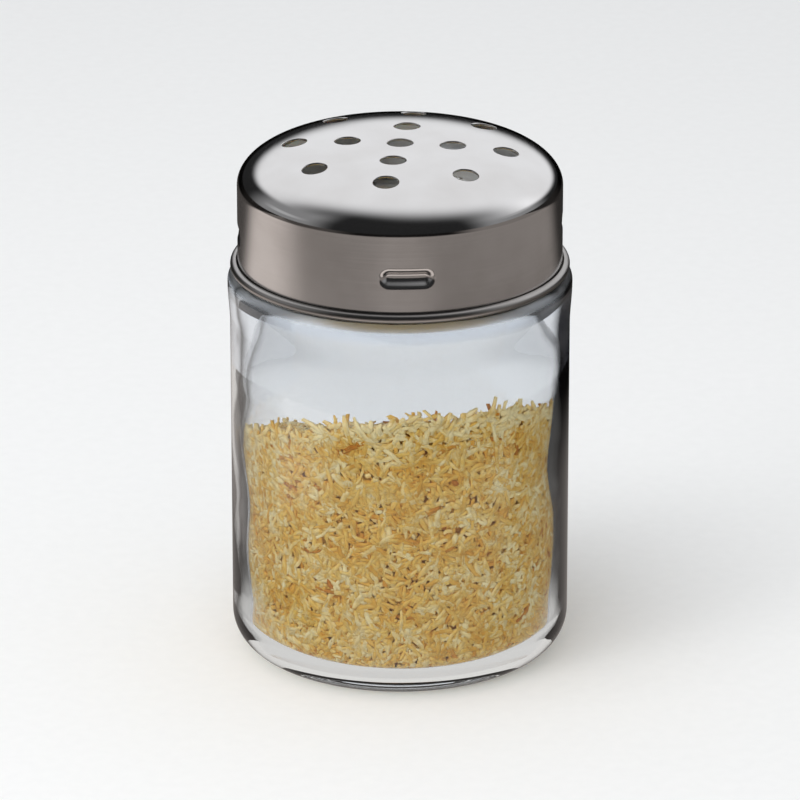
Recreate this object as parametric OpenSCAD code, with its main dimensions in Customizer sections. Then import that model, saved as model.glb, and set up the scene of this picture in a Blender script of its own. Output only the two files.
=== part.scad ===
// Grated cheese shaker: a round glass jar under a pressed steel screw cap with pour holes.
// Millimetres, +Z up, origin at the middle of the jar's bearing ring.

/* [Jar body] */
// Outer diameter of the straight glass wall
jar_d = 73.4; // [70:0.2:90]
// Height of the ledge that the cap's curl sits over
ledge_z = 86.4; // [76:0.2:110]
// Thickness of the glass wall
jar_wall = 3.4; // [2.4:0.1:4.4]
// Outer rounding where the wall turns into the base
heel_r = 8; // [6:0.5:9.5]
// Inner rounding where the wall turns into the floor
floor_r = 6; // [4:0.5:8]
// Height of the inner floor above the table
floor_z = 3.6; // [3:0.1:6]
// Hollow under the base, at its middle
push_up = 1.2; // [0.6:0.1:1.8]
// Inner diameter of the flat bearing ring
foot_d = 48; // [42:0.5:50]

/* [Jar shoulder and neck] */
// How far the shoulder stands proud of the wall
shoulder_proud = 0.5; // [0.2:0.1:1]
// Height over which the wall swells out to the shoulder
shoulder_rise = 10; // [6:0.5:14]
// Rounding between the shoulder and the ledge
shoulder_r = 2.4; // [1.4:0.1:3]
// Outer diameter of the neck, at the root of its thread
neck_d = 65.6; // [62:0.1:66.4]
// Thickness of the neck
neck_wall = 3.5; // [2.8:0.1:4.5]
// Rounding of the rim's two edges
rim_r = 0.9; // [0.5:0.1:1.2]
// How far below the ledge the narrow mouth ends
mouth_below_ledge = 3; // [1:0.5:6]
// Height over which the inside widens from the mouth to the wall
throat_h = 22; // [14:1:30]

/* [Screw thread] */
// Rise of the thread in one turn
thread_pitch = 5; // [4.8:0.1:6]
// Height of the thread above the neck
thread_h = 1.2; // [0.9:0.1:1.5]
// Width of the thread's flat crest
thread_crest = 0.9; // [0.6:0.1:1.2]
// Width of the thread where it leaves the neck
thread_root = 2; // [1.6:0.1:2.4]
// How far round the neck the thread runs, in degrees
thread_sweep = 335; // [320:5:360]
// Stretch over which each end of the thread fades into the neck, in degrees
thread_fade = 22; // [12:1:30]

/* [Cap] */
// Thickness of the steel sheet
sheet = 0.5; // [0.4:0.05:0.6]
// Height of the straight skirt, from the curl's centre to the start of the crown
skirt_h = 17.8; // [16.5:0.1:22]
// Height of the crown above the skirt
crown_h = 9.35; // [8:0.05:12]
// Fullness of the crown: 2 is an ellipse, more is a flatter top
crown_power = 3.65; // [3:0.05:4.4]
// Hollow radius of the rolled edge
curl_r = 0.55; // [0.45:0.05:0.7]
// How far round the edge is rolled, in degrees
curl_sweep = 285; // [240:5:290]

/* [Cap dents] */
// Depth of the front dent's centre line below the start of the crown
dent_drop = 9.1; // [8:0.1:10.5]
// Length of a dent round the skirt
dent_l = 11; // [8:0.1:13]
// Radius of the dent's round cross-section, outside
dent_r = 1.7; // [1.5:0.05:1.8]
// Depth of a dent
dent_depth = 1.3; // [1.1:0.05:1.4]

/* [Pour holes] */
// Diameter of a pour hole
hole_d = 5.5; // [3:0.1:5.6]
// Radius of the inner ring of holes
inner_ring_r = 11.4; // [8:0.1:14]
// Number of holes in the inner ring
inner_holes = 4; // [3:1:6]
// Radius of the outer ring of holes
outer_ring_r = 22.9; // [20:0.1:25]
// Number of holes in the outer ring
outer_holes = 8; // [6:1:10]
// Turn of the hole pattern from the front dent, in degrees
hole_turn = -10; // [-45:1:45]

/* [Sealing washer] */
// Thickness of the washer between the rim and the cap
washer_t = 1.5; // [1:0.1:2]
// How far the washer stands inside the rim's inner edge
washer_inset = 0.3; // [0:0.1:1]

/* [Cheese] */
// Height of the cheese at the middle of the jar
cheese_z = 50.3; // [20:0.1:53]
// Slope of the cheese, from heaped at the front to low at the back, in degrees
cheese_slope = 21; // [0:1:24]
// Slope of the cheese across the front, from low on the left to high on the right, in degrees
cheese_tilt = 3.5; // [-5:0.5:5]
// Height of the lumps in the cheese
cheese_lump = 0.9; // [0:0.1:1.5]

/* [Clearances] */
// Between the cap's curl and the glass ledge
curl_gap = 0.3; // [0.2:0.05:0.8]
// Between the thread's crest and the inside of the skirt
skirt_gap = 0.5; // [0.4:0.05:0.8]
// Between a dent and the thread above it
dent_gap = 0.35; // [0.3:0.05:0.4]
// Between the washer's top edge and the cap
washer_gap = 0.15; // [0.1:0.05:0.3]
// Between the cheese and the glass
cheese_gap = 0.25; // [0.2:0.05:0.6]

/* [Hidden] */

$fn = 96;
// Direction of the front of the cap, in degrees from +X
front_turn = 270;
// Dents round the skirt, and the turn from one to the next
dents = 4;
dent_turn = 360 / dents;
// How far a cut runs past the face that it opens
cut_margin = 1;
// Straight pieces in a quarter circle, an S curve, the crown and the curl
arc_steps = 10;
ease_steps = 14;
crown_steps = 20;
curl_steps = 20;

// Radii that follow from the jar's and neck's diameters
jar_r = jar_d / 2;
cavity_r = jar_r - jar_wall;
neck_r = neck_d / 2;
mouth_r = neck_r - neck_wall;
cap_in_r = neck_r + thread_h + skirt_gap;
cap_r = cap_in_r + sheet;

// Heights that follow from the ledge
curl_z = ledge_z + curl_gap + curl_r + sheet;
crown_z = curl_z + skirt_h;
mouth_z = ledge_z - mouth_below_ledge;
throat_z = mouth_z - throat_h;

// Height of a crown of radius r and rise h above its edge, at distance x from the axis
function crown_at(x, r, h) = h * sqrt(1 - pow(x / r, crown_power));

// The washer's outer edge meets the inside of the crown, and the rim carries the washer
washer_r = neck_r;
rim_z = crown_z + crown_at(washer_r, cap_in_r, crown_h - sheet) - washer_gap - washer_t;

// Points on an arc from angle a0 to a1
function arc(centre, r, a0, a1, steps) =
    [for (i = [0:steps]) let (a = a0 + (a1 - a0) * i / steps) centre + r * [cos(a), sin(a)]];

// Points on a smooth S that leaves its first point and reaches its last one upright
function ease(p, q, steps) =
    [for (i = [0:steps]) [p.x + (q.x - p.x) * (1 - cos(180 * i / steps)) / 2, p.y + (q.y - p.y) * i / steps]];

// Points on a crown from its top to its edge
function crown_points(r, h, steps) =
    [for (i = [0:steps]) let (a = 90 * i / steps) [r * pow(sin(a), 2 / crown_power), crown_z + h * cos(a)]];

function reversed(points) = [for (i = [len(points) - 1:-1:0]) points[i]];

// Widest part of the shoulder
flank_r = jar_r + shoulder_proud;
flank_z = ledge_z - shoulder_r;

// Half of the jar's section: base, wall, shoulder and neck outside, then the way back inside
function jar_section() = concat(
    [for (i = [0:arc_steps]) let (t = i / arc_steps) [foot_d / 2 * t, push_up * (1 - t * t)]],
    arc([jar_r - heel_r, heel_r], heel_r, -90, 0, arc_steps),
    ease([jar_r, flank_z - shoulder_rise], [flank_r, flank_z], ease_steps),
    arc([flank_r - shoulder_r, flank_z], shoulder_r, 90 / arc_steps, 90, arc_steps - 1),
    [[neck_r, ledge_z]],
    arc([neck_r - rim_r, rim_z - rim_r], rim_r, 0, 90, arc_steps),
    arc([mouth_r + rim_r, rim_z - rim_r], rim_r, 90, 180, arc_steps),
    ease([mouth_r, mouth_z], [cavity_r, throat_z], ease_steps),
    arc([cavity_r - floor_r, floor_z + floor_r], floor_r, 0, -90, arc_steps),
    [[0, floor_z]]
);

// Where the thread and the dents run: height above the front dent's centre at angle a
function helix_z(a) = thread_pitch * (a - front_turn) / 360;
dent_z = crown_z - dent_drop;
dent_path_r = cap_r - dent_depth + dent_r;
dent_half = sqrt(pow(dent_r + sheet, 2) - pow(dent_path_r - neck_r - thread_h, 2));
thread_above_dent = dent_half + thread_crest / 2 + dent_gap;
dent_span = (dent_l - 2 * sqrt(pow(dent_r, 2) - pow(dent_r - dent_depth, 2))) / dent_path_r * 180 / PI;

// The thread starts past the highest dent and ends past the lowest one
thread_top = front_turn + dent_turn + (thread_sweep - (dents - 1) * dent_turn) / 2;
thread_steps = 48;
// How deep the thread's root and its faded ends lie in the glass of the neck
thread_sunk = 0.4;
thread_end_sunk = 0.1;

function thread_fade_at(a) = sin(90 * min(1, a / thread_fade, (thread_sweep - a) / thread_fade));

function thread_ring(i) =
    let (a = thread_sweep * i / thread_steps,
         turn = thread_top - a,
         crest_r = neck_r - thread_end_sunk + (thread_h + thread_end_sunk) * thread_fade_at(a),
         root_r = neck_r - thread_sunk,
         z = dent_z + thread_above_dent + helix_z(turn))
    [for (p = [[root_r, -thread_root / 2], [crest_r, -thread_crest / 2],
               [crest_r, thread_crest / 2], [root_r, thread_root / 2]])
        [p.x * cos(turn), p.x * sin(turn), z + p.y]];

// One thread, as a closed strip of four-sided rings
module neck_thread() {
    sides = 4;
    last = sides * thread_steps;
    walls = [for (i = [0:thread_steps - 1], k = [0:sides - 1])
        let (a = sides * i + k, b = sides * i + (k + 1) % sides)
        each [[a, a + sides, b + sides], [a, b + sides, b]]];
    ends = [[0, 1, 2], [0, 2, 3], [last, last + 2, last + 1], [last, last + 3, last + 2]];
    polyhedron(points = [for (i = [0:thread_steps]) each thread_ring(i)], faces = concat(walls, ends));
}

// Blown and pressed glass, with a threaded neck
module glass_jar() {
    color([0.82, 0.88, 0.9, 0.35]) {
        rotate_extrude() polygon(jar_section());
        neck_thread();
    }
}

// The space in the jar that cheese can fill, clear of the glass
function cheese_section() = concat(
    [[0, floor_z + cheese_gap]],
    arc([cavity_r - floor_r, floor_z + floor_r], floor_r - cheese_gap, -90, 0, arc_steps),
    ease([cavity_r - cheese_gap, throat_z], [mouth_r - cheese_gap, mouth_z], ease_steps),
    [[0, mouth_z]]
);

// Waves that make the lumps of the heap: degrees per mm along X and Y, and share of the lump's height
heap_waves = [[11, 9, 0.5], [11, -9, 0.5], [23, -14, 0.6], [17, 31, 0.4]];
function heap_wave(x, y, i = 0) = i == len(heap_waves) ? 0 :
    heap_waves[i][2] * sin(heap_waves[i].x * x + heap_waves[i].y * y) + heap_wave(x, y, i + 1);
function heap_z(x, y) =
    cheese_z - y * tan(cheese_slope) + x * tan(cheese_tilt) + cheese_lump * heap_wave(x, y);

// A block as wide as the jar whose top is the heap
module heap_block() {
    cells = 24;
    row = cells + 1;
    step = jar_d / cells;
    top = [for (j = [0:cells], i = [0:cells])
        let (x = i * step - jar_r, y = j * step - jar_r) [x, y, heap_z(x, y)]];
    base = [for (p = [[-1, -1], [1, -1], [1, 1], [-1, 1]]) [p.x * jar_r, p.y * jar_r, 0]];
    b = len(top);
    surface = [for (j = [0:cells - 1], i = [0:cells - 1])
        let (a = j * row + i)
        each [[a, a + row + 1, a + 1], [a, a + row, a + row + 1]]];
    front = concat([for (i = [0:cells]) i], [b + 1, b]);
    right = concat([for (j = [0:cells]) j * row + cells], [b + 2, b + 1]);
    back = concat([for (i = [cells:-1:0]) cells * row + i], [b + 3, b + 2]);
    left = concat([for (j = [cells:-1:0]) j * row], [b, b + 3]);
    polyhedron(points = concat(top, base),
        faces = concat(surface, [front, right, back, left, [b, b + 1, b + 2, b + 3]]));
}

module grated_cheese() {
    color([0.87, 0.75, 0.5]) intersection() {
        rotate_extrude() polygon(cheese_section());
        heap_block();
    }
}

// Flat ring that the cap presses onto the rim
module sealing_washer() {
    color([0.93, 0.93, 0.9]) translate([0, 0, rim_z]) difference() {
        cylinder(r = washer_r, h = washer_t);
        translate([0, 0, -cut_margin]) cylinder(r = mouth_r - washer_inset, h = washer_t + 2 * cut_margin);
    }
}

// Half of the cap's section: the sheet from the middle of its crown to the end of its curl, and back
function cap_section() = concat(
    crown_points(cap_r, crown_h, crown_steps),
    arc([cap_r + curl_r, curl_z], curl_r, 180, 180 + curl_sweep, curl_steps),
    arc([cap_r + curl_r, curl_z], curl_r + sheet, 180 + curl_sweep, 180, curl_steps),
    reversed(crown_points(cap_in_r, crown_h - sheet, crown_steps))
);

// A rounded bar bent round the skirt, of radius r, at the front; its round ends are a little slimmer
dent_end = 0.96;
module dent_bar(r) {
    rotate([0, 0, front_turn - dent_span / 2])
        rotate_extrude(angle = dent_span) translate([dent_path_r, 0]) circle(r = r);
    for (side = [-1, 1])
        rotate([0, 0, front_turn + side * dent_span / 2])
            translate([dent_path_r, 0, 0]) sphere(r = dent_end * r);
}

// One dent at each quarter turn, each a quarter pitch lower going clockwise
module each_dent() {
    for (i = [0:dents - 1]) {
        turn = dent_turn * (1 - i);
        translate([0, 0, dent_z + helix_z(front_turn + turn)]) rotate([0, 0, turn]) children();
    }
}

module pour_holes() {
    rotate([0, 0, hole_turn + front_turn]) {
        translate([0, 0, crown_z]) cylinder(d = hole_d, h = crown_h + cut_margin);
        for (ring = [[inner_ring_r, inner_holes], [outer_ring_r, outer_holes]], i = [0:ring[1] - 1])
            rotate([0, 0, 360 * i / ring[1]]) translate([ring[0], 0, crown_z])
                cylinder(d = hole_d, h = crown_h + cut_margin);
    }
}

// One drawn sheet: perforated crown, dented skirt and an edge rolled outwards
module steel_cap() {
    color([0.75, 0.74, 0.73]) difference() {
        union() {
            rotate_extrude() polygon(cap_section());
            each_dent() intersection() {
                dent_bar(dent_r + sheet);
                cylinder(r = cap_r - sheet / 2, h = 4 * dent_r, center = true);
            }
        }
        each_dent() dent_bar(dent_r);
        pour_holes();
    }
}

glass_jar();
grated_cheese();
sealing_washer();
steel_cap();
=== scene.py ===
"""Looks of the grated cheese shaker: clear glass jar, pierced steel screw cap, loose shreds of cheese."""

import math

import bpy
import numpy as np
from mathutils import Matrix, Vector


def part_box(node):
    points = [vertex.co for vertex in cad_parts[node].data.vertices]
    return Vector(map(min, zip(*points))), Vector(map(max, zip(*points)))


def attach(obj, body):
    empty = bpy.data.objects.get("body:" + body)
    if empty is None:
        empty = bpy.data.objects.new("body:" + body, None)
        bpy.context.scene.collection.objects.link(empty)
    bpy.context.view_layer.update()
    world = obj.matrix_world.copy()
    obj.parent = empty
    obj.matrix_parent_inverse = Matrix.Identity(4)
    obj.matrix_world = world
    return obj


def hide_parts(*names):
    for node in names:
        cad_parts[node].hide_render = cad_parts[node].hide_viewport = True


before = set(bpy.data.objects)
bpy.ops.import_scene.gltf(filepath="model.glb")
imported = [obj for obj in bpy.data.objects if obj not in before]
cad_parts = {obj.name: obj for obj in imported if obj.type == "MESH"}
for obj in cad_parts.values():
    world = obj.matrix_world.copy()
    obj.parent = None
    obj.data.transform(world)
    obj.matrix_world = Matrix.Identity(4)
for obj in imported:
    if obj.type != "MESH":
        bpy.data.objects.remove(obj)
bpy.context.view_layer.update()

# Sizes are in millimetres and angles in degrees; meshes are made in metres
MM = 0.001

# Sizes that the frame gives
jar_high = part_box("glass_jar")[1] / MM
cap_low, cap_high = (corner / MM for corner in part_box("steel_cap"))
FLANK_R = jar_high.x
RIM_Z = jar_high.z
APEX_Z = cap_high.z

# Sizes of the jar, as in the part's source
JAR_R = 36.7
LEDGE_Z = 86.4
JAR_WALL = 3.4
HEEL_R = 8.0
FLOOR_R = 6.0
FLOOR_Z = 3.6
PUSH_UP = 1.2
FOOT_R = 24.0
SHOULDER_RISE = 10.0
SHOULDER_R = 2.4
NECK_R = 32.8
NECK_FILLET = 0.6
MOUTH_R = 29.3
RIM_R = 0.9
MOUTH_Z = 83.4
THROAT_Z = 61.4
CAVITY_R = JAR_R - JAR_WALL
FLANK_Z = LEDGE_Z - SHOULDER_R

# Waves on the inside of the glass: count round the jar, height of one radian, share of the depth, and phase
WALL_WAVES = ((3, 9, 1.0, 0), (5, -6, 0.7, 1), (2, 4, 0.6, 2))
WAVE_DEPTH = 0.12
# How many depths the waves are set outwards, height over which they start, and where they end
WAVE_SET_OUT = 1.9
WAVE_START = 14.0
WAVE_END = (LEDGE_Z - 4, LEDGE_Z + 3)

# Sizes of the thread on the neck
THREAD_PITCH = 5.0
THREAD_H = 1.2
THREAD_CREST = 0.9
THREAD_ROOT = 2.0
THREAD_SOFT = 0.1
THREAD_SWEEP = 335.0
THREAD_FADE = 22.0
THREAD_TOP = 392.5
THREAD_ABOVE_DENT = 2.5

# Sizes of the cap
SHEET = 0.5
CAP_R = 35.0
CAP_IN_R = CAP_R - SHEET
CURL_R = 0.55
CURL_SWEEP = 285.0
CROWN_H = 9.35
CROWN_POWER = 3.65
CROWN_Z = APEX_Z - CROWN_H
CURL_Z = cap_low.z + CURL_R + SHEET
FRONT_TURN = 270.0
DENT_DROP = 9.1
DENT_Z = CROWN_Z - DENT_DROP
DENT_L = 11.0
DENT_H = 3.4
DENT_DEPTH = 1.3
DENTS = 4
# Shares of a dent's half height at which it is deepest and at which it ends
DENT_FLAT = 0.2
DENT_EDGE = 1.3
HOLE_R = 2.75
HOLE_RINGS = ((0.0, 1), (11.4, 4), (22.9, 8))
HOLE_TURN = FRONT_TURN - 10.0
HOLE_ROUND = 0.3
# How far a punch reaches below the sheet, above the crown, and past the rounded edge
PUNCH_BELOW = 1.2
PUNCH_ABOVE = 0.4
PUNCH_PAST = 0.5

# Sizes of the heap of cheese
HEAP_Z = 50.3
HEAP_SLOPE = math.tan(math.radians(21.0))
HEAP_TILT = math.tan(math.radians(3.5))
HEAP_LUMP = 0.9
HEAP_WAVES = ((11, 9, 0.5), (11, -9, 0.5), (23, -14, 0.6), (17, 31, 0.4))
CHEESE_GAP = 0.25
CORE_SKIN = 1.3

# Sizes of a shred: usual length and its spread, then shortest and longest, thinnest and thickest
SHRED_LENGTH = 2.9
SHRED_SPREAD = 0.55
SHRED_LENGTHS = (0.9, 9.0)
SHRED_WIDTHS = (0.6, 1.1)
SHRED_THICKS = (0.4, 0.75)
# Rings of points along a shred, points in a ring, and a ring's radius for a width of 1
RINGS = 5
SIDES = 4
RING_R = 0.7
# How shreds vary: ragged rings, thinner ends, twist, and bends as shares of the length
SHRED_RAGGED = 0.16
SHRED_TAPERS = (0.15, 0.55)
SHRED_TWIST = 0.5
SHRED_BEND = 0.11
SHRED_RISE = 0.05
BEND_MIDDLE = 0.4

# Numbers of shreds against each quarter of the wall, on the heap and on the floor
WALL_COUNT = 4800
TOP_COUNT = 4400
FLOOR_COUNT = 1100
# Where shreds lie: above the floor, past the top of the heap, and in from the glass
FLOOR_LIE = 0.6
FLOOR_LEAST = 0.5
HEAP_FRINGE = 0.9
WALL_CLEAR = 0.2
WALL_DEPTH = 0.35
FLAT_CLEAR = 1.5
# Share of a surface's slope that a shred follows
FLAT_FOLLOW = 0.8
# How shreds on the heap and on the floor are lifted and lean
TOP_LIFT = (-1.2, 0.4)
TOP_LEAN = 0.16
FLOOR_LIFT = (0, 1.0)
FLOOR_LEAN = 0.02

# Shades of the cheese, from 0 for browned to 1 for cream: usual, paler near the top as painted light where
# the cap shades the heap, darker in the depth as painted shade between the shreds, and the core dark as
# painted shade in the gaps
TONE = 0.72
TONE_SPREAD = 0.13
TONE_RANGE = (0.1, 0.95)
TOP_PAINTED_LIGHT = 0.22
TOP_PAINTED_LIGHT_DEPTH = 5
DEEP_PAINTED_SHADE = 0.5
DEEP_PAINTED_SHADE_DEPTHS = (0.3, 1.5)
BROWNED_SHARE = 0.01
BROWNED_TONES = (0.05, 0.25)
CORE_SHADE_TONE = 0.15
CHEESE_SHADES = [(0.0, "#b46a18"), (0.2, "#c98428"), (0.45, "#dc9f3c"), (0.7, "#e7b75c"), (1.0, "#f2d8a0")]

# Heights of the glass: heel, band under the ledge with a painted cool tint that mutes the cheese seen there,
# moulded shoulder, and start of the neck
GLASS_HEEL = (0.0, 20.0)
GLASS_MUTED_BAND = (81.5, 83.5)
GLASS_MOULDED = (FLANK_Z + 0.3, LEDGE_Z - 0.8)
GLASS_NECK = (LEDGE_Z + 0.1, LEDGE_Z + 0.8)
MOULDED_ROUGH = 0.55
# Lean of the wall's normal, share of the painted edge shade at the heel, and size and effect of the ripples
GLASS_LEAN = 0.5
HEEL_EDGE_SHADE_SHARE = 0.62
RIPPLE_SIZE = 9.0
RIPPLE_SHIFT = 0.025
# Left side of the jar, whose outermost edge is kept light as painted light, and where that edge lies past
# the painted dark one
PAINTED_LIGHT_X = (-20.0, -28.0)
PAINTED_LIGHT_Z = (4.0, 14.0)
PAINTED_LIGHT_EDGE = (-0.02, 0.05)

# Steel: size of its fine lines, how little they change round the axis, size of its smudges, and rough curl
LINE_SIZE = 0.35
LINE_PULL = 0.5
SMUDGE_SIZE = 14.0
CURL_ROUGH = 0.3

# Brightness of parts of the floor in metal: left of the jar, all round, in front, and at its foot
GLOW_LEVEL = 0.72
RING_LEVEL = 0.31
NEAR_LEVEL = 0.8
FOOT_LEVEL = 0.3
# Share of it that is left far away: straight on, to the right and to the left; and behind the jar
FAR_LEVEL = 0.03
FAR_RIGHT = 0.8
FAR_LEFT = 0.25
BACK_LEVEL = 0.1
# Brightness of the floor in the glass: under the jar, round it, in a slanting strip, and in a patch
UNDER_LEVEL = 0.92
ROUND_LEVEL = 0.1
STRIP_LEVEL = 0.85
STRIP_SLANT = 0.45
PATCH_LEVEL = 2.2
# Brightness of the floor in the pour holes, from the right to the left
HOLE_LEVELS = (0.08, 1.35)
# Passes through glass after which a ray comes from the neck
NECK_PASSES = 3.5

# The large soft box that metal mirrors, by direction: its front edge, its lower edge and its levels
BOX_ROUND = 0.12
BOX_SPREAD = 0.68
BOX_SKEW = 0.3
BOX_EDGE = (-1.02, 0.2)
BOX_MIDDLE = 0.35
BOX_DIP = 0.3
BOX_RISE = (0.02, 0.26)
BOX_LEVELS = (0.02, 0.97)
# A level strip light at each side: its height and half height, and its reach in radians from the front
STRIP_Z = 0.26
STRIP_HALF = (0.1, 0.04)
STRIP_FRONT = (1.1, 1.6)
STRIP_BACK = (2.1, 1.7)
STRIP_LIGHT = 0.22
# A box at each side: its middle and half width, its level, and the height at which it ends
SIDE_BOXES = ((-92, 44, 0.26, 1.0), (84, 42, 0.26, 0.85))
SIDE_SOFT = 26
SIDE_FADE = 0.45
# Even light on the object, and the background to the camera and through glass
FILL_LEVEL = 0.63
BACKGROUND_LEVEL = 0.96

rng = np.random.default_rng(11)


# Small helpers for profiles and meshes
def arc(centre, radius, start, end, steps):
    """Points on an arc."""
    angles = np.radians(np.linspace(start, end, steps + 1))
    return np.column_stack([centre[0] + radius * np.cos(angles), centre[1] + radius * np.sin(angles)])


def straight(start, end, steps):
    """Points on a straight line."""
    return np.linspace(start, end, steps + 1)


def ease(start, end, steps):
    """Points on a smooth S that leaves its first point and reaches its last one upright."""
    share = np.linspace(0, 1, steps + 1)
    swing = (1 - np.cos(np.pi * share)) / 2
    return np.column_stack([start[0] + (end[0] - start[0]) * swing, start[1] + (end[1] - start[1]) * share])


def joined(*runs):
    """One run of points, without the repeats where runs meet."""
    points = np.vstack(runs)
    moved = np.hypot(*np.diff(points, axis=0).T) > 1e-6
    return points[np.r_[True, moved]]


def smooth_step(value, low, high):
    """0 at low, 1 at high, with a smooth way between them."""
    share = np.clip((value - low) / (high - low), 0, 1)
    return share * share * (3 - 2 * share)


def new_mesh(name, points, quads, triangles):
    """A mesh object from points in millimetres, with every face smooth."""
    rows = [np.asarray(part, int) for part in (quads, triangles) if len(part)]
    corners = np.concatenate([part.ravel() for part in rows])
    sizes = np.concatenate([np.full(len(part), part.shape[1]) for part in rows])
    mesh = bpy.data.meshes.new(name)
    mesh.vertices.add(len(points))
    mesh.vertices.foreach_set("co", (np.asarray(points) * MM).astype(np.float32).ravel())
    mesh.loops.add(len(corners))
    mesh.loops.foreach_set("vertex_index", corners.astype(np.int32))
    mesh.polygons.add(len(sizes))
    mesh.polygons.foreach_set("loop_start", (np.cumsum(sizes) - sizes).astype(np.int32))
    mesh.polygons.foreach_set("use_smooth", np.ones(len(sizes), bool))
    mesh.update(calc_edges=True)
    made = bpy.data.objects.new(name, mesh)
    bpy.context.scene.collection.objects.link(made)
    return made


def lathe(profile, angles, bend=None):
    """Points, quads and triangles of a profile turned about Z; its first and last points lie on the axis.
    bend takes the radius, height and angle of each point, and its row, and returns the new radius."""
    rows = profile[1:-1]
    turn, row = np.meshgrid(np.radians(angles), np.arange(len(rows)))
    radius = rows[row, 0]
    height = rows[row, 1]
    if bend:
        radius = bend(radius, height, np.degrees(turn), row)
    rings = np.dstack([radius * np.cos(turn), radius * np.sin(turn), height]).reshape(-1, 3)
    points = np.vstack([rings, [0, 0, profile[0, 1]], [0, 0, profile[-1, 1]]])
    count = len(angles)
    here = np.arange(count)
    after = np.roll(here, -1)
    strip = np.column_stack([here, after, after + count, here + count])
    quads = np.vstack([strip + k * count for k in range(len(rows) - 1)])
    first, last = len(rings), len(rings) + 1
    final = (len(rows) - 1) * count
    triangles = np.vstack([
        np.column_stack([np.full(count, first), after, here]),
        np.column_stack([np.full(count, last), here + final, after + final]),
    ])
    return points, quads, triangles


# Small helpers for materials
def colour(code):
    """A hex colour as linear red, green, blue and alpha."""
    values = [int(code[i:i + 2], 16) / 255 for i in (1, 3, 5)]
    return tuple(v / 12.92 if v <= 0.04045 else ((v + 0.055) / 1.055) ** 2.4 for v in values) + (1.0,)


def add(tree, kind, inputs=None, **settings):
    """A new node with these settings, whose inputs are set to values or linked to other nodes' outputs."""
    node = tree.nodes.new(kind)
    for key, value in settings.items():
        setattr(node, key, value)
    for key, value in (inputs or {}).items():
        if isinstance(value, bpy.types.NodeSocket):
            tree.links.new(value, node.inputs[key])
        else:
            node.inputs[key].default_value = value
    return node


def maths(tree, operation, *values):
    """The output of a Math node."""
    return add(tree, "ShaderNodeMath", dict(enumerate(values)), operation=operation).outputs[0]


def product(tree, first, *others):
    """Values multiplied together."""
    for other in others:
        first = maths(tree, "MULTIPLY", first, other)
    return first


def largest(tree, first, *others):
    """The largest of some values."""
    for other in others:
        first = maths(tree, "MAXIMUM", first, other)
    return first


def vector_maths(tree, operation, *values):
    """The vector output of a Vector Math node."""
    return add(tree, "ShaderNodeVectorMath", dict(enumerate(values)), operation=operation).outputs["Vector"]


def split(tree, vector):
    """The X, Y and Z of a vector."""
    return add(tree, "ShaderNodeSeparateXYZ", {0: vector}).outputs


def spread(tree, value, low, high, to_low=0.0, to_high=1.0):
    """A value moved smoothly from one range to another, and held at its ends."""
    inputs = {"Value": value, "From Min": low, "From Max": high, "To Min": to_low, "To Max": to_high}
    return add(tree, "ShaderNodeMapRange", inputs, interpolation_type="SMOOTHSTEP").outputs["Result"]


def between(tree, place, band, to_low=0.0, to_high=1.0):
    """A place in metres moved smoothly from a band in millimetres to another range."""
    return spread(tree, place, band[0] * MM, band[1] * MM, to_low, to_high)


def vary(tree, grain, to_low, to_high):
    """A range that noise runs through; it seldom leaves its own middle."""
    return spread(tree, grain, 0.3, 0.7, to_low, to_high)


def mix(tree, share, first, second):
    """A value between two others."""
    return add(tree, "ShaderNodeMix", {"Factor": share, "A": first, "B": second}).outputs[0]


def mix_shaders(tree, share, first, second):
    """A shader between two others."""
    return add(tree, "ShaderNodeMixShader", {0: share, 1: first, 2: second}).outputs[0]


def emission(tree, code, strength):
    """A shader that glows."""
    return add(tree, "ShaderNodeEmission", {"Color": colour(code), "Strength": strength}).outputs[0]


def ramp(tree, value, stops):
    """A colour that runs through stops of (place, hex colour)."""
    node = add(tree, "ShaderNodeValToRGB", {"Fac": value})
    elements = node.color_ramp.elements
    while len(elements) < len(stops):
        elements.new(0.5)
    for element, (place, code) in zip(elements, stops):
        element.position = place
        element.color = colour(code)
    return node.outputs["Color"]


def noise(tree, vector, size, detail):
    """Noise from 0 to 1, with features of about this size in millimetres."""
    inputs = {"Vector": vector, "Scale": 1 / (size * MM), "Detail": detail}
    return add(tree, "ShaderNodeTexNoise", inputs).outputs["Fac"]


def bump(tree, height, strength, depth):
    """A normal from a height, over a depth in millimetres."""
    inputs = {"Height": height, "Strength": strength, "Distance": depth * MM}
    return add(tree, "ShaderNodeBump", inputs).outputs[0]


def new_material(name):
    """A material with its node tree and Principled shader."""
    made = bpy.data.materials.new(name)
    made.use_nodes = True
    return made, made.node_tree, made.node_tree.nodes["Principled BSDF"]


def feed(tree, shader, **inputs):
    """Sets or links a shader's inputs, named with _ for spaces."""
    for key, value in inputs.items():
        socket = shader.inputs[key.replace("_", " ")]
        if isinstance(value, bpy.types.NodeSocket):
            tree.links.new(value, socket)
        else:
            socket.default_value = value


def show(tree, surface):
    """Makes a shader the surface of its material."""
    tree.links.new(surface, tree.nodes["Material Output"].inputs["Surface"])


def own_place(tree):
    """The piece's own coordinates, in metres."""
    return add(tree, "ShaderNodeTexCoord").outputs["Object"]


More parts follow.
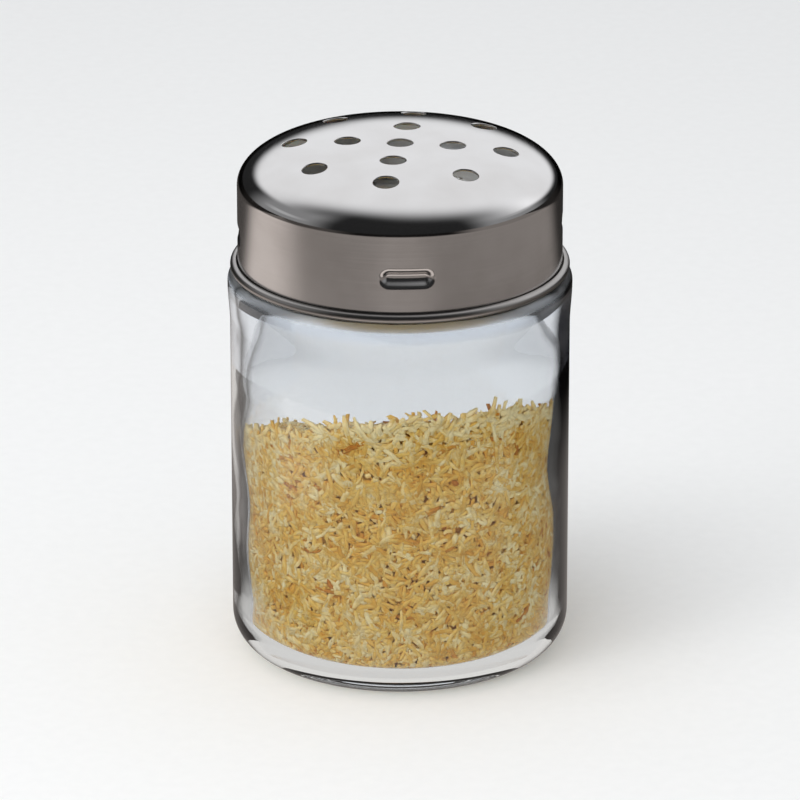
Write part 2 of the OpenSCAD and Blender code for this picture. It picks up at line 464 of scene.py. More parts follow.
# Materials
def seen_along(tree, z, ripple):
    """How nearly the outside of the glass is seen along its surface, from 0 to 1, wavering with the ripples;
    it sets where the glass gets its painted dark edges.
    The wall's normal is taken to lean up, so that a wall that is seen from high above stays clear."""
    geometry = add(tree, "ShaderNodeNewGeometry")
    lean = add(tree, "ShaderNodeCombineXYZ", {2: between(tree, z, GLASS_HEEL, 0.0, GLASS_LEAN)}).outputs[0]
    normal = vector_maths(tree, "NORMALIZE", vector_maths(tree, "ADD", geometry.outputs["Normal"], lean))
    facing = add(tree, "ShaderNodeLayerWeight", {"Blend": 0.5, "Normal": normal}).outputs["Facing"]
    outside = maths(tree, "SUBTRACT", 1.0, geometry.outputs["Backfacing"])
    along = product(tree, facing, outside, between(tree, z, GLASS_HEEL, HEEL_EDGE_SHADE_SHARE, 1.0))
    return maths(tree, "ADD", along, vary(tree, ripple, -RIPPLE_SHIFT, RIPPLE_SHIFT))


def glass_material(name, edge_start, edge_end, edge_shade_code):
    """Clear glass that darkens with painted shade where it is seen along its surface, keeps a painted light
    edge on its left side and has a painted cool tint under the ledge; it lets lamps through.
    """
    made, tree, shader = new_material(name)
    place = own_place(tree)
    x, _, z = split(tree, place)
    ripple = noise(tree, place, RIPPLE_SIZE, 1.0)
    along = seen_along(tree, z, ripple)
    # Painted light: the outermost edge on the left side of the jar is kept light, as if lit from that side.
    lit = product(tree, between(tree, x, PAINTED_LIGHT_X), between(tree, z, PAINTED_LIGHT_Z))
    outermost = spread(tree, along, edge_end + PAINTED_LIGHT_EDGE[0], edge_end + PAINTED_LIGHT_EDGE[1])
    kept_dark = maths(tree, "SUBTRACT", 1.0, product(tree, lit, outermost))
    # Painted shade: the glass is darkened where it is seen along its surface, except at the painted light
    # edge on the left.
    dark = product(tree, spread(tree, along, edge_start, edge_end), kept_dark)
    below_neck = between(tree, z, GLASS_NECK, 1.0, 0.0)
    # Painted cool grey tint on a band under the ledge, which mutes the cheese seen through the shoulder.
    thick = product(tree, between(tree, z, GLASS_MUTED_BAND), below_neck)
    moulded = product(tree, between(tree, z, GLASS_MOULDED, 0.0, MOULDED_ROUGH), below_neck)
    tint_and_edge_shade = ramp(tree, dark, [(0.0, "#e5e7e9"), (1.0, edge_shade_code)])
    painted_muting_tint = ramp(tree, thick, [(0.0, "#ffffff"), (1.0, "#e6edf9")])
    feed(tree, shader, Base_Color=vector_maths(tree, "MULTIPLY", tint_and_edge_shade, painted_muting_tint), Roughness=moulded, IOR=1.5,
         Transmission_Weight=1.0, Normal=bump(tree, ripple, 0.25, 0.12))
    path = add(tree, "ShaderNodeLightPath")
    passing = largest(tree, path.outputs["Is Shadow Ray"], path.outputs["Is Diffuse Ray"])
    clear = add(tree, "ShaderNodeBsdfTransparent", {"Color": colour("#f2f5f5")}).outputs[0]
    show(tree, mix_shaders(tree, passing, shader.outputs[0], clear))
    return made


def steel_material(name, skirt_rough, crown_rough, codes):
    """Drawn stainless steel: polished crown, satin skirt and curl, fine lines round the axis, and a curl
    darkened by painted shade.
    """
    made, tree, shader = new_material(name)
    place = own_place(tree)
    x, y, z = split(tree, place)
    radius = maths(tree, "SQRT", maths(tree, "ADD", product(tree, x, x), product(tree, y, y)))
    across = maths(tree, "ADD", z, radius)
    along = product(tree, maths(tree, "ARCTAN2", y, x), LINE_PULL * MM)
    drawn = add(tree, "ShaderNodeCombineXYZ", {0: along, 1: across}).outputs[0]
    lines = noise(tree, drawn, LINE_SIZE, 3.0)
    smudge = noise(tree, place, SMUDGE_SIZE, 3.0)
    crown = between(tree, z, (CROWN_Z - 0.5, CROWN_Z + 0.4))
    curl = between(tree, z, (CURL_Z + 1.0, CURL_Z + 1.6), 1.0, 0.0)
    rough = spread(tree, crown, 0.0, 1.0, skirt_rough, crown_rough)
    rough = largest(tree, rough, product(tree, curl, CURL_ROUGH))
    rough = maths(tree, "ADD", rough, vary(tree, lines, -0.02, 0.02))
    rough = maths(tree, "ADD", rough, spread(tree, smudge, 0.35, 0.7, -0.01, 0.03))
    tone = ramp(tree, smudge, [(0.3, codes[0]), (0.7, codes[1])])
    # Painted shade: the colour of the curl is darkened.
    shade = ramp(tree, curl, [(0.0, "#ffffff"), (1.0, "#c6c4c2")])
    feed(tree, shader, Base_Color=vector_maths(tree, "MULTIPLY", tone, shade), Metallic=1.0,
         Roughness=rough, Normal=bump(tree, lines, 0.03, 0.02))
    return made


def cheese_material():
    """Dry grated cheese: cream to gold shreds with browned specks; the tone it reads also holds painted
    light near the heap's top and painted shade in the depth.
    """
    made, tree, shader = new_material("grated_cheese_shreds")
    place = own_place(tree)
    tone = add(tree, "ShaderNodeAttribute", attribute_name="tone").outputs["Fac"]
    grain = noise(tree, place, 1.6, 3.0)
    fine = noise(tree, place, 0.35, 2.0)
    patch = noise(tree, place, 7.0, 1.0)
    mixed = maths(tree, "ADD", tone, vary(tree, grain, -0.1, 0.1))
    mixed = maths(tree, "ADD", mixed, vary(tree, patch, -0.12, 0.1))
    feed(tree, shader, Base_Color=ramp(tree, mixed, CHEESE_SHADES), Roughness=vary(tree, fine, 0.55, 0.72),
         Specular_IOR_Level=0.25, Subsurface_Weight=0.25, Subsurface_Radius=(1.0, 0.9, 0.75),
         Subsurface_Scale=0.5 * MM, Normal=bump(tree, fine, 0.25, 0.1))
    return made


def washer_material():
    """Pale silicone rubber with a moulded, slightly dusty skin."""
    made, tree, shader = new_material("pale_silicone")
    place = own_place(tree)
    dust = noise(tree, place, 5.0, 4.0)
    grain = noise(tree, place, 0.25, 2.0)
    feed(tree, shader, Base_Color=ramp(tree, dust, [(0.3, "#e2e1da"), (0.7, "#eeeee9")]),
         Roughness=vary(tree, dust, 0.5, 0.62), Subsurface_Weight=0.15,
         Subsurface_Scale=1.0 * MM, Normal=bump(tree, grain, 0.2, 0.05))
    return made


# The jar
def thread_height(angle, height):
    """How far the thread stands out of the neck at an angle and height."""
    turned = THREAD_TOP - np.mod(THREAD_TOP - angle, 360)
    run = THREAD_TOP - turned
    fade = np.sin(np.pi / 2 * np.clip(np.minimum(run, THREAD_SWEEP - run) / THREAD_FADE, 0, 1))
    centre = DENT_Z + THREAD_ABOVE_DENT + THREAD_PITCH * (turned - FRONT_TURN) / 360
    away = np.abs(height - centre)
    ridge = 1 - smooth_step(away, THREAD_CREST / 2 - THREAD_SOFT, THREAD_ROOT / 2 + THREAD_SOFT)
    return THREAD_H * ridge * fade


def wall_waves(angle, height):
    """How far the waves move the inside of the glass outwards at an angle and height."""
    turn = np.radians(angle)
    wave = sum(share * np.sin(count * turn + height / length + phase)
               for count, length, share, phase in WALL_WAVES)
    calm = smooth_step(height, FLOOR_Z, FLOOR_Z + WAVE_START) * (1 - smooth_step(height, *WAVE_END))
    return WAVE_DEPTH * (wave + WAVE_SET_OUT) * calm


def make_jar():
    """The glass jar, smooth and with its thread, in place of its facetted solid.
    The last number of each run of its section is the run's number of steps."""
    share = np.linspace(0, 1, 17)
    outside = joined(
        np.column_stack([FOOT_R * share, PUSH_UP * (1 - share ** 2)]),
        straight((FOOT_R, 0), (JAR_R - HEEL_R, 0), 6),
        arc((JAR_R - HEEL_R, HEEL_R), HEEL_R, -90, 0, 24),
        straight((JAR_R, HEEL_R), (JAR_R, FLANK_Z - SHOULDER_RISE), 16),
        ease((JAR_R, FLANK_Z - SHOULDER_RISE), (FLANK_R, FLANK_Z), 20),
        arc((FLANK_R - SHOULDER_R, FLANK_Z), SHOULDER_R, 0, 90, 18),
        straight((FLANK_R - SHOULDER_R, LEDGE_Z), (NECK_R + NECK_FILLET, LEDGE_Z), 4),
        arc((NECK_R + NECK_FILLET, LEDGE_Z + NECK_FILLET), NECK_FILLET, 270, 180, 6),
        straight((NECK_R, LEDGE_Z + NECK_FILLET), (NECK_R, RIM_Z - RIM_R), 84),
        arc((NECK_R - RIM_R, RIM_Z - RIM_R), RIM_R, 0, 90, 8),
    )
    inside = joined(
        arc((MOUTH_R + RIM_R, RIM_Z - RIM_R), RIM_R, 90, 180, 8),
        straight((MOUTH_R, RIM_Z - RIM_R), (MOUTH_R, MOUTH_Z), 14),
        ease((MOUTH_R, MOUTH_Z), (CAVITY_R, THROAT_Z), 32),
        straight((CAVITY_R, THROAT_Z), (CAVITY_R, FLOOR_Z + FLOOR_R), 24),
        arc((CAVITY_R - FLOOR_R, FLOOR_Z + FLOOR_R), FLOOR_R, 0, -90, 20),
        straight((CAVITY_R - FLOOR_R, FLOOR_Z), (0, FLOOR_Z), 8),
    )
    profile = joined(outside, inside)
    outer_rows = len(outside) - 1

    def bend(radius, height, angle, row):
        neck = (row < outer_rows) & (height > LEDGE_Z + NECK_FILLET) & (height < RIM_Z - RIM_R)
        shape = np.where(neck, radius + thread_height(angle, height), radius)
        return np.where(row >= outer_rows, shape + wall_waves(angle, height), shape)

    turns = 256
    angles = np.arange(turns) * 360 / turns
    points, quads, triangles = lathe(profile, angles, bend)
    jar = new_mesh("jar_glass", points, quads, triangles)
    # Both glass materials paint shade where the glass is seen along its surface, darkest on the outside.
    jar.data.materials.append(
        glass_material("clear_glass_outside", edge_start=0.455, edge_end=0.58, edge_shade_code="#060607"))
    jar.data.materials.append(
        glass_material("clear_glass_inside", edge_start=0.54, edge_end=0.71, edge_shade_code="#26282a"))
    strips_inside = np.arange(len(profile) - 3) >= outer_rows
    inner = np.r_[np.repeat(strips_inside, turns), np.zeros(turns, bool), np.ones(turns, bool)]
    jar.data.polygons.foreach_set("material_index", inner.astype(np.int32))
    return jar


# The cap
def crown_height(radius, edge_r, rise):
    """Height of a crown above its edge at a distance from the axis."""
    return rise * np.sqrt(np.clip(1 - (radius / edge_r) ** CROWN_POWER, 0, None))


def crown_run(edge_r, rise, steps):
    """Points on a crown from the axis to its edge, closer together towards the edge."""
    radius = edge_r * (1 - (1 - np.linspace(0, 1, steps + 1)) ** 2)
    return np.column_stack([radius, CROWN_Z + crown_height(radius, edge_r, rise)])


def crown_slope(radius):
    """Slope of the outer crown at a distance from the axis."""
    least = 1e-9
    share = (radius / CAP_R) ** CROWN_POWER
    steep = -CROWN_H * CROWN_POWER / 2 * share / np.maximum(radius, least)
    return steep / np.sqrt(np.maximum(1 - share, least))


def dent_bend(radius, height, angle, row):
    """The skirt's radius, pressed in at each dent."""
    shape = radius.copy()
    for i in range(DENTS):
        turn = FRONT_TURN + 360 / DENTS * (1 - i)
        centre = DENT_Z + THREAD_PITCH * (turn - FRONT_TURN) / 360
        side = np.radians((angle - turn + 180) % 360 - 180) * CAP_R
        past_end = np.maximum(np.abs(side) - (DENT_L - DENT_H) / 2, 0)
        away = np.hypot(past_end, height - centre)
        press = DENT_DEPTH * (1 - smooth_step(away, DENT_FLAT * DENT_H / 2, DENT_EDGE * DENT_H / 2))
        on_skirt = (height > CURL_Z + 1) & (height < CROWN_Z) & (radius <= CAP_R + 1e-6)
        shape = np.where(on_skirt, shape - press, shape)
    return shape


def hole_cutters():
    """One mesh with a flared punch square to the crown at each pour hole, which leaves rounded edges."""
    rounds = 72
    depths = np.linspace(0, 1, 7)
    flare_r = HOLE_R + HOLE_ROUND * (1 - np.sqrt(1 - depths ** 2))
    flare = np.column_stack([flare_r, HOLE_ROUND * (depths - 1)])
    tip = -SHEET - PUNCH_BELOW
    wide = HOLE_R + HOLE_ROUND + PUNCH_PAST
    profile = joined([[0, tip], [HOLE_R, tip]], flare, [[wide, PUNCH_ABOVE], [0, PUNCH_ABOVE]])
    shape, quads, triangles = lathe(profile, np.arange(rounds) * 360 / rounds)
    points, all_quads, all_triangles = [], [], []
    for ring_r, count in HOLE_RINGS:
        for i in range(count):
            turn = math.radians(HOLE_TURN + 360 * i / count)
            lean = math.atan(-float(crown_slope(np.array(ring_r))))
            out = np.array([math.cos(turn), math.sin(turn), 0])
            up = math.sin(lean) * out + math.cos(lean) * np.array([0, 0, 1])
            side = np.array([-math.sin(turn), math.cos(turn), 0])
            centre = ring_r * out + np.array([0, 0, CROWN_Z + float(crown_height(ring_r, CAP_R, CROWN_H))])
            start = sum(len(part) for part in points)
            points.append(centre + shape @ np.array([np.cross(side, up), side, up]))
            all_quads.append(quads + start)
            all_triangles.append(triangles + start)
    return new_mesh("hole_cutters", np.vstack(points), np.vstack(all_quads), np.vstack(all_triangles))


def cap_angles():
    """Angles of the cap's columns of points, closer together round each dent."""
    near_dent = 12.0
    coarse = np.arange(0, 360, 1.5)
    fine = np.arange(-near_dent, near_dent + 0.1, 0.5)
    round_dents = (fine[:, None] + np.arange(DENTS) * 360 / DENTS) % 360
    return np.unique(np.round(np.r_[coarse, round_dents.ravel()], 3))


def make_cap():
    """The steel cap: smooth crown with rounded holes, pressed dents and a rolled edge.
    The last number of each run of its section is the run's number of steps."""
    curl = (CAP_R + CURL_R, CURL_Z)
    profile = joined(
        crown_run(CAP_IN_R, CROWN_H - SHEET, 44),
        straight((CAP_IN_R, CROWN_Z), (CAP_IN_R, CURL_Z), 60),
        arc(curl, CURL_R + SHEET, 180, 180 + CURL_SWEEP, 34),
        arc(curl, CURL_R, 180 + CURL_SWEEP, 180, 24),
        straight((CAP_R, CURL_Z), (CAP_R, CROWN_Z), 60),
        crown_run(CAP_R, CROWN_H, 70)[::-1],
    )
    cap = new_mesh("cap_shell", *lathe(profile, cap_angles(), dent_bend))
    cutters = hole_cutters()
    cut = cap.modifiers.new("holes", "BOOLEAN")
    cut.object = cutters
    cut.operation = "DIFFERENCE"
    cut.solver = "EXACT"
    view = bpy.context.evaluated_depsgraph_get()
    pierced = bpy.data.meshes.new_from_object(cap.evaluated_get(view))
    cap.modifiers.clear()
    cap.data = pierced
    bpy.data.objects.remove(cutters)
    keep_crown_smooth(pierced)
    pierced.materials.clear()
    pierced.materials.append(steel_material(
        "stainless_steel_outside", skirt_rough=0.19, crown_rough=0.08, codes=("#e3e1e0", "#dad7d5")))
    # The inside steel is rougher, and its paler colour is painted light that brightens what the pour holes
    # show.
    pierced.materials.append(steel_material(
        "stainless_steel_inside", skirt_rough=0.5, crown_rough=0.46, codes=("#f1efec", "#e8e5e2")))
    dull_and_paler_inside(pierced)
    return cap


def dull_and_paler_inside(mesh):
    """Gives the faces inside the cap their duller finish, whose paler colour is painted light in the pour
    holes: those above the curl that look in or down.
    """
    middles = np.zeros(len(mesh.polygons) * 3, np.float32)
    normals = np.zeros(len(mesh.polygons) * 3, np.float32)
    mesh.polygons.foreach_get("center", middles)
    mesh.polygons.foreach_get("normal", normals)
    middles, normals = middles.reshape(-1, 3) / MM, normals.reshape(-1, 3)
    out = (normals[:, :2] * middles[:, :2]).sum(1) / np.maximum(np.hypot(*middles[:, :2].T), 1e-6)
    above_curl = middles[:, 2] > CURL_Z + 1.2
    looks_down = normals[:, 2] < -0.1
    looks_in = out < -0.5
    inside = above_curl & (out < 0.3) & (looks_down | looks_in)
    mesh.polygons.foreach_set("material_index", inside.astype(np.int32))


def keep_crown_smooth(mesh):
    """Gives the outer crown its true normals, so that reflections don't break up round the holes."""
    points = np.zeros(len(mesh.vertices) * 3, np.float32)
    mesh.vertices.foreach_get("co", points)
    points = points.reshape(-1, 3) / MM
    radius = np.hypot(points[:, 0], points[:, 1])
    off_crown = np.abs(points[:, 2] - CROWN_Z - crown_height(radius, CAP_R, CROWN_H))
    on_crown = (off_crown < 0.002) & (points[:, 2] > CROWN_Z + 0.3)
    slope = crown_slope(radius)
    true = np.column_stack([-slope * points[:, 0] / np.maximum(radius, 1e-6),
                            -slope * points[:, 1] / np.maximum(radius, 1e-6), np.ones(len(points))])
    true /= np.linalg.norm(true, axis=1)[:, None]
    corners = np.zeros(len(mesh.loops), np.int32)
    mesh.loops.foreach_get("vertex_index", corners)
    normals = np.zeros(len(mesh.loops) * 3, np.float32)
    mesh.corner_normals.foreach_get("vector", normals)
    normals = normals.reshape(-1, 3)
    starts = np.zeros(len(mesh.polygons), np.int32)
    mesh.polygons.foreach_get("loop_start", starts)
    whole = np.logical_and.reduceat(on_crown[corners], starts)
    counts = np.diff(np.r_[starts, len(corners)])
    use = np.repeat(whole, counts)
    normals[use] = true[corners[use]]
    mesh.normals_split_custom_set(normals.tolist())


# The cheese
def heap_top(x, y):
    """Height of the heap's surface."""
    waves = sum(share * np.sin(np.radians(a * x + b * y)) for a, b, share in HEAP_WAVES)
    return HEAP_Z - HEAP_SLOPE * y + HEAP_TILT * x + HEAP_LUMP * waves


def cavity_radius(height):
    """Inner radius of the jar at a height, less the gap that the cheese keeps."""
    low = np.clip(FLOOR_Z + FLOOR_R - height, 0, FLOOR_R)
    round_r = CAVITY_R - FLOOR_R + np.sqrt(FLOOR_R ** 2 - low ** 2)
    throat = np.clip((height - THROAT_Z) / (MOUTH_Z - THROAT_Z), 0, 1)
    narrow_r = CAVITY_R - (CAVITY_R - MOUTH_R) * (1 - np.cos(np.pi * throat)) / 2
    return np.where(height < FLOOR_Z + FLOOR_R, round_r, narrow_r) - CHEESE_GAP


def loose_shreds(count):
    """Curved, tapered strips at the origin: length on the first axis, then width, then thickness."""
    usual = rng.lognormal(math.log(SHRED_LENGTH), SHRED_SPREAD, count)
    length = np.clip(usual, *SHRED_LENGTHS)[:, None, None]
    width = rng.uniform(*SHRED_WIDTHS, count)[:, None, None]
    thick = rng.uniform(*SHRED_THICKS, count)[:, None, None]
    share = np.linspace(-1, 1, RINGS)[None, :, None]
    corner = (np.arange(SIDES) + 0.5)[None, None, :] * 2 * np.pi / SIDES
    ragged = rng.normal(1, SHRED_RAGGED, (count, RINGS, 1))
    taper = ragged * (1 - rng.uniform(*SHRED_TAPERS, count)[:, None, None] * np.abs(share) ** 3)
    twist = rng.normal(0, SHRED_TWIST, count)[:, None, None] * share
    across = width * RING_R * taper * np.cos(corner + twist)
    up = thick * RING_R * taper * np.sin(corner + twist)
    curve = rng.normal(0, SHRED_BEND, count)[:, None, None] * length * (share ** 2 - BEND_MIDDLE)
    rise = rng.normal(0, SHRED_RISE, count)[:, None, None] * length * (share ** 2 - BEND_MIDDLE)
    along = length / 2 * share + 0 * corner
    return np.stack([along, across + curve, up + rise], axis=-1)


def turned_flat(strips, angle):
    """Strips turned about their thickness."""
    cos, sin = np.cos(angle)[:, None, None], np.sin(angle)[:, None, None]
    along, across = strips[..., 0], strips[..., 1]
    return along * cos - across * sin, along * sin + across * cos, strips[..., 2]


def kept_inside(points):
    """Points pressed back where they would pass through the glass."""
    points[..., 2] = np.maximum(points[..., 2], FLOOR_Z + CHEESE_GAP)
    radius = np.hypot(points[..., 0], points[..., 1])
    limit = cavity_radius(points[..., 2])
    points[..., :2] *= np.minimum(1, limit / np.maximum(radius, 1e-6))[..., None]
    return points


def wall_shreds(count, start_turn, end_turn):
    """Strips lying against a stretch of the glass wall, from the floor to the top of the heap."""
    turn = np.radians(rng.uniform(start_turn, end_turn, count))
    top = heap_top(CAVITY_R * np.cos(turn), CAVITY_R * np.sin(turn))
    start = FLOOR_Z + FLOOR_LIE
    height = start + (top + HEAP_FRINGE - start) * rng.uniform(0, 1, count)
    side, up, depth = turned_flat(loose_shreds(count), rng.uniform(0, np.pi, count))
    inward = rng.exponential(WALL_DEPTH, count)[:, None, None] + WALL_CLEAR + depth
    z = height[:, None, None] + up
    radius = cavity_radius(np.maximum(z, FLOOR_Z + FLOOR_LEAST)) - np.maximum(inward, 0)
    angle = turn[:, None, None] + side / CAVITY_R
    return kept_inside(np.stack([radius * np.cos(angle), radius * np.sin(angle), z], axis=-1))


def flat_shreds(count, surface, lift, lean):
    """Strips lying on a surface, each lifted within a range and leaning by chance."""
    radius = (CAVITY_R - FLAT_CLEAR) * np.sqrt(rng.uniform(0, 1, count))
    turn = rng.uniform(0, 2 * np.pi, count)
    x, y = radius * np.cos(turn), radius * np.sin(turn)
    along, across, up = turned_flat(loose_shreds(count), rng.uniform(0, np.pi, count))
    tip = rng.normal(0, lean, (2, count))[:, :, None, None]
    px, py = x[:, None, None] + along, y[:, None, None] + across
    base = surface(x, y)[:, None, None] + (surface(px, py) - surface(x, y)[:, None, None]) * FLAT_FOLLOW
    raised = rng.uniform(*lift, count)[:, None, None]
    z = base + raised + up + np.tan(tip[0]) * along + np.tan(tip[1]) * across
    return kept_inside(np.stack([px, py, z], axis=-1))


def floor_level(x, y):
    """Height at which strips lie on the jar's floor, under the cheese."""
    return np.full_like(x, FLOOR_Z + CHEESE_GAP + FLOOR_LIE)


def make_shreds(name, strips):
    """One piece made of loose strips, each with its own shade of colour, with painted light near the heap's
    top and painted shade in the depth.
    """
    count = len(strips)
    size = RINGS * SIDES
    ring, side = np.meshgrid(np.arange(RINGS - 1), np.arange(SIDES), indexing="ij")
    next_side = (side + 1) % SIDES
    corner = np.stack([ring * SIDES + side, ring * SIDES + next_side,
                       (ring + 1) * SIDES + next_side, (ring + 1) * SIDES + side], axis=-1).reshape(-1, 4)
    last = size - SIDES
    ends = np.array([np.arange(SIDES)[::-1], last + np.arange(SIDES)])
    starts = size * np.arange(count)[:, None, None]
    quads = (np.vstack([corner, ends])[None] + starts).reshape(-1, 4)
    cheese = new_mesh(name, strips.reshape(-1, 3), quads, [])
    x, y, z = strips.mean(axis=(1, 2)).T
    below = heap_top(x, y) - z
    depth = np.minimum.reduce([below, cavity_radius(z) - np.hypot(x, y), z - FLOOR_Z - CHEESE_GAP])
    # Painted light on shreds near the top of the heap, which the cap shades, and painted shade on shreds
    # deep in the heap.
    pale = TOP_PAINTED_LIGHT * (1 - smooth_step(below, 0, TOP_PAINTED_LIGHT_DEPTH))
    pale = pale - DEEP_PAINTED_SHADE * smooth_step(depth, *DEEP_PAINTED_SHADE_DEPTHS)
    tone = np.clip(rng.normal(TONE, TONE_SPREAD, count) + pale, *TONE_RANGE)
    browned = rng.uniform(0, 1, count) < BROWNED_SHARE
    tone[browned] = rng.uniform(*BROWNED_TONES, browned.sum())
    add_tone(cheese, np.repeat(tone, size))
    return cheese


def add_tone(piece, values):
    """Stores how pale each point of the cheese is, its painted light and shade included."""
    layer = piece.data.attributes.new("tone", "FLOAT", "POINT")
    layer.data.foreach_set("value", np.asarray(values, np.float32))


def make_core():
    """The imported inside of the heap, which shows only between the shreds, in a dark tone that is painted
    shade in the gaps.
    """
    turns = 120
    angles = np.arange(turns) * 360 / turns
    bottom, sides, top = 8, 26, 14
    rows = [(share, 0.0) for share in np.linspace(0, 1, bottom + 1)]
    rows += [(1.0, share) for share in np.linspace(0, 1, sides + 1)[1:]]
    rows += [(share, 1.0) for share in np.linspace(1, 0, top + 1)[1:]]
    rows = np.array(rows)
    turn = np.radians(angles)[None, :]
    out, up = rows[:, 0][:, None], rows[:, 1][:, None]
    wall = CAVITY_R - CHEESE_GAP - CORE_SKIN
    wall_top = heap_top(wall * np.cos(turn), wall * np.sin(turn)) - CORE_SKIN
    low = FLOOR_Z + CHEESE_GAP + CORE_SKIN
    z = low + (wall_top - low) * up + 0 * out
    radius = np.minimum(wall, cavity_radius(z) - CORE_SKIN) * out
    x, y = radius * np.cos(turn), radius * np.sin(turn)
    z = np.where(up == 1.0, heap_top(x, y) - CORE_SKIN, z)
    _, quads, triangles = lathe(np.column_stack([radius.mean(1), z.mean(1)]), angles)
    rings = np.stack([x, y, z], axis=-1)[1:-1].reshape(-1, 3)
    points = np.vstack([rings, [0, 0, low], [0, 0, heap_top(0.0, 0.0) - CORE_SKIN]])
    core = new_mesh("cheese_core", points, quads, triangles)
    add_tone(core, np.full(len(points), CORE_SHADE_TONE))
    return core


jar = make_jar()
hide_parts("glass_jar")
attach(jar, "jar")

cap = make_cap()
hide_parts("steel_cap")
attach(cap, "cap")

cheese_paint = cheese_material()
quarters = (("front_left", 180), ("front_right", 270), ("back_right", 0), ("back_left", 90))
cheese = [make_shreds("cheese_shreds_" + name, wall_shreds(WALL_COUNT, start, start + 90))
          for name, start in quarters]
on_top = flat_shreds(TOP_COUNT, heap_top, TOP_LIFT, TOP_LEAN)
on_floor = flat_shreds(FLOOR_COUNT, floor_level, FLOOR_LIFT, FLOOR_LEAN)
cheese.append(make_shreds("cheese_shreds_top", np.concatenate([on_top, on_floor])))
cheese.append(make_core())
for piece in cheese:
    piece.data.materials.append(cheese_paint)
    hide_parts("grated_cheese")
    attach(piece, "jar")

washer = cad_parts["sealing_washer"]
washer.data.materials.clear()
washer.data.materials.append(washer_material())


# Floor, light and camera
def in_metal(tree):
    """1 for a ray that a shiny surface sent on, and 0 for sight, light and all that passed through glass."""
    path = add(tree, "ShaderNodeLightPath")
    through = maths(tree, "MINIMUM", path.outputs["Transmission Depth"], 1.0)
    return product(tree, path.outputs["Is Glossy Ray"], maths(tree, "SUBTRACT", 1.0, through))


def in_glass(tree):
    """1 for rays that were mirrored and passed through glass, 0 for the others."""
    path = add(tree, "ShaderNodeLightPath")
    both = product(tree, path.outputs["Glossy Depth"], path.outputs["Transmission Depth"])
    return maths(tree, "MINIMUM", both, 1.0)


def in_cap(tree):
    """1 for rays that passed through so much glass that they come from the neck and the cap round it."""
    path = add(tree, "ShaderNodeLightPath")
    return maths(tree, "GREATER_THAN", path.outputs["Transmission Depth"], NECK_PASSES)


def floor_in_metal(tree, x, y, away):
    """How bright metal sees the floor: a pale table in a dim room, brightest on the left and in front."""
    left = product(tree, between(tree, x, (-20, -90)), between(tree, y, (-250, 60)))
    glow = product(tree, left, between(tree, away, (60, 100), 0.0, GLOW_LEVEL))
    ring = between(tree, away, (190, 260), 0.0, RING_LEVEL)
    ring = product(tree, ring, between(tree, maths(tree, "ABSOLUTE", x), (30, 160), 1.25, 1.0))
    ring = product(tree, ring, between(tree, x, (60, 160), 1.0, 0.92))
    near = between(tree, y, (-40, -60), 0.0, NEAR_LEVEL)
    near = product(tree, near, between(tree, away, (150, 200), 1.0, 0.0))
    foot = between(tree, away, (100, 180), FOOT_LEVEL, 0.0)
    level = largest(tree, glow, ring, near, foot)
    side = maths(tree, "DIVIDE", x, largest(tree, away, 10 * MM))
    far_right = spread(tree, side, 0.5, 0.85, FAR_LEVEL, FAR_RIGHT)
    far_left = spread(tree, side, -0.5, -0.85, FAR_LEVEL, FAR_LEFT)
    far = largest(tree, between(tree, away, (380, 550), 1.0, 0.0), far_right, far_left)
    return product(tree, level, far, between(tree, y, (150, 230), 1.0, BACK_LEVEL))


def floor_in_glass(tree, x, y, away):
    """How bright mirrored rays that pass through glass see the floor: pale under the jar and dim round it,
    with a strip and a patch on the left. Rays from the cap see it graded, which lights the pour holes."""
    under = between(tree, away, (40, 70), UNDER_LEVEL, ROUND_LEVEL)
    slant = maths(tree, "ADD", x, product(tree, y, STRIP_SLANT))
    strip = between(tree, slant, (-46, -20), 0.0, STRIP_LEVEL)
    strip = product(tree, strip, between(tree, x, (-25, -40)), between(tree, y, (20, 50)))
    patch = product(tree, between(tree, x, (-80, -200), 0.0, PATCH_LEVEL), between(tree, y, (30, -30)))
    graded = between(tree, x, (140, -70), *HOLE_LEVELS)
    return mix(tree, in_cap(tree), largest(tree, under, strip, patch), graded)


def make_floor():
    """A pale floor that keeps the shadow; metal and glass mirror it at levels of their own."""
    size = 20000.0
    corners = [(-size, -size, 0), (size, -size, 0), (size, size, 0), (-size, size, 0)]
    floor = new_mesh("floor", corners, [(0, 1, 2, 3)], [])
    made, tree, shader = new_material("pale_floor")
    place = own_place(tree)
    grain = noise(tree, place, 3.0, 3.0)
    feed(tree, shader, Base_Color=ramp(tree, grain, [(0.3, "#f6f6f5"), (0.7, "#f8f8f7")]), Roughness=0.9)
    away = add(tree, "ShaderNodeVectorMath", {0: place}, operation="LENGTH").outputs["Value"]
    x, y, _ = split(tree, place)
    table = emission(tree, "#f4eae4", floor_in_metal(tree, x, y, away))
    mixed = mix_shaders(tree, in_metal(tree), shader.outputs[0], table)
    dim = emission(tree, "#f2f0ec", floor_in_glass(tree, x, y, away))
    show(tree, mix_shaders(tree, in_glass(tree), mixed, dim))
    floor.data.materials.append(made)


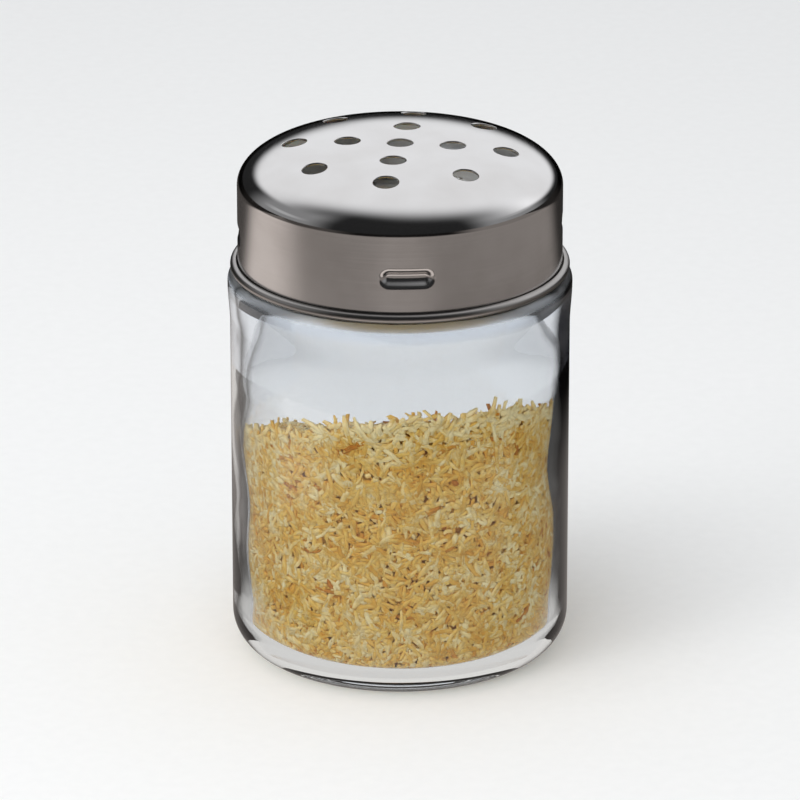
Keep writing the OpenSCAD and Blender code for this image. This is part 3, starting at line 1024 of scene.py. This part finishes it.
def studio_in_metal(tree):
    """How bright metal sees the room: a large soft box above and behind, a strip and a box at each side."""
    x, y, z = split(tree, add(tree, "ShaderNodeTexCoord").outputs["Generated"])
    turn = maths(tree, "ARCTAN2", x, product(tree, y, -1.0))
    aside = maths(tree, "SQRT", maths(tree, "ADD", product(tree, x, x), BOX_ROUND))
    aside = maths(tree, "SUBTRACT", product(tree, aside, BOX_SPREAD), product(tree, x, BOX_SKEW))
    behind = maths(tree, "SUBTRACT", y, aside)
    shift = maths(tree, "SUBTRACT", x, BOX_MIDDLE)
    rise = maths(tree, "SUBTRACT", z, product(tree, shift, shift, BOX_DIP))
    boxes = product(tree, spread(tree, rise, *BOX_RISE), spread(tree, behind, *BOX_EDGE))
    boxes = spread(tree, boxes, 0.0, 1.0, *BOX_LEVELS)
    off = maths(tree, "ABSOLUTE", turn)
    strip = spread(tree, maths(tree, "ABSOLUTE", maths(tree, "SUBTRACT", z, STRIP_Z)), *STRIP_HALF)
    strip = product(tree, strip, spread(tree, off, *STRIP_BACK, 0.0, STRIP_LIGHT))
    boxes = largest(tree, boxes, product(tree, strip, spread(tree, off, *STRIP_FRONT)))
    for middle, half, level, top in SIDE_BOXES:
        off = maths(tree, "ABSOLUTE", maths(tree, "SUBTRACT", turn, math.radians(middle)))
        box = spread(tree, off, math.radians(half), math.radians(half - SIDE_SOFT), 0.0, level)
        low = spread(tree, z, top, top - SIDE_FADE)
        boxes = maths(tree, "ADD", boxes, product(tree, box, low))
    return boxes


def make_world():
    """White to the camera and through glass, even fill on the object, and a softbox studio in the metal."""
    world = bpy.data.worlds.new("studio")
    bpy.context.scene.world = world
    world.use_nodes = True
    tree = world.node_tree
    path = add(tree, "ShaderNodeLightPath")
    plain = largest(tree, path.outputs["Is Camera Ray"], path.outputs["Transmission Depth"])
    plain = maths(tree, "MINIMUM", plain, 1.0)
    level = mix(tree, in_metal(tree), FILL_LEVEL, studio_in_metal(tree))
    level = mix(tree, plain, level, BACKGROUND_LEVEL)
    tree.links.new(level, tree.nodes["Background"].inputs["Strength"])
    tree.nodes["Background"].inputs["Color"].default_value = colour("#fafcff")


def make_lamp(name, place, size, watts):
    """A large soft lamp that faces the jar and stays out of reflections."""
    lamp = bpy.data.lights.new(name, "AREA")
    lamp.shape = "DISK"
    lamp.size = size
    lamp.energy = watts
    made = bpy.data.objects.new(name, lamp)
    made.location = place
    made.rotation_mode = "QUATERNION"
    jar_middle = Vector((0, 0, 0.05))
    made.rotation_quaternion = (jar_middle - Vector(place)).to_track_quat("-Z", "Y")
    made.visible_glossy = False
    made.visible_transmission = False
    bpy.context.scene.collection.objects.link(made)


def make_camera():
    """A long lens at the angle of the studio picture."""
    distance = 1.4
    turn, lift = math.radians(-2.5), math.radians(21.1)
    target = Vector((0, 0, 0.0558))
    back = Vector((math.sin(turn) * math.cos(lift), -math.cos(turn) * math.cos(lift), math.sin(lift)))
    data = bpy.data.cameras.new("camera")
    data.lens = 290
    data.clip_end = 100
    camera = bpy.data.objects.new("camera", data)
    camera.location = target + back * distance
    camera.rotation_mode = "QUATERNION"
    camera.rotation_quaternion = (-back).to_track_quat("-Z", "Y")
    bpy.context.scene.collection.objects.link(camera)
    bpy.context.scene.camera = camera


make_floor()
make_world()
make_lamp("overhead_lamp", place=(-0.25, -0.3, 1.1), size=0.8, watts=5.5)
make_lamp("side_lamp", place=(-0.9, -0.6, 0.7), size=0.5, watts=2.6)
make_camera()
bpy.context.scene.view_settings.view_transform = "Standard"
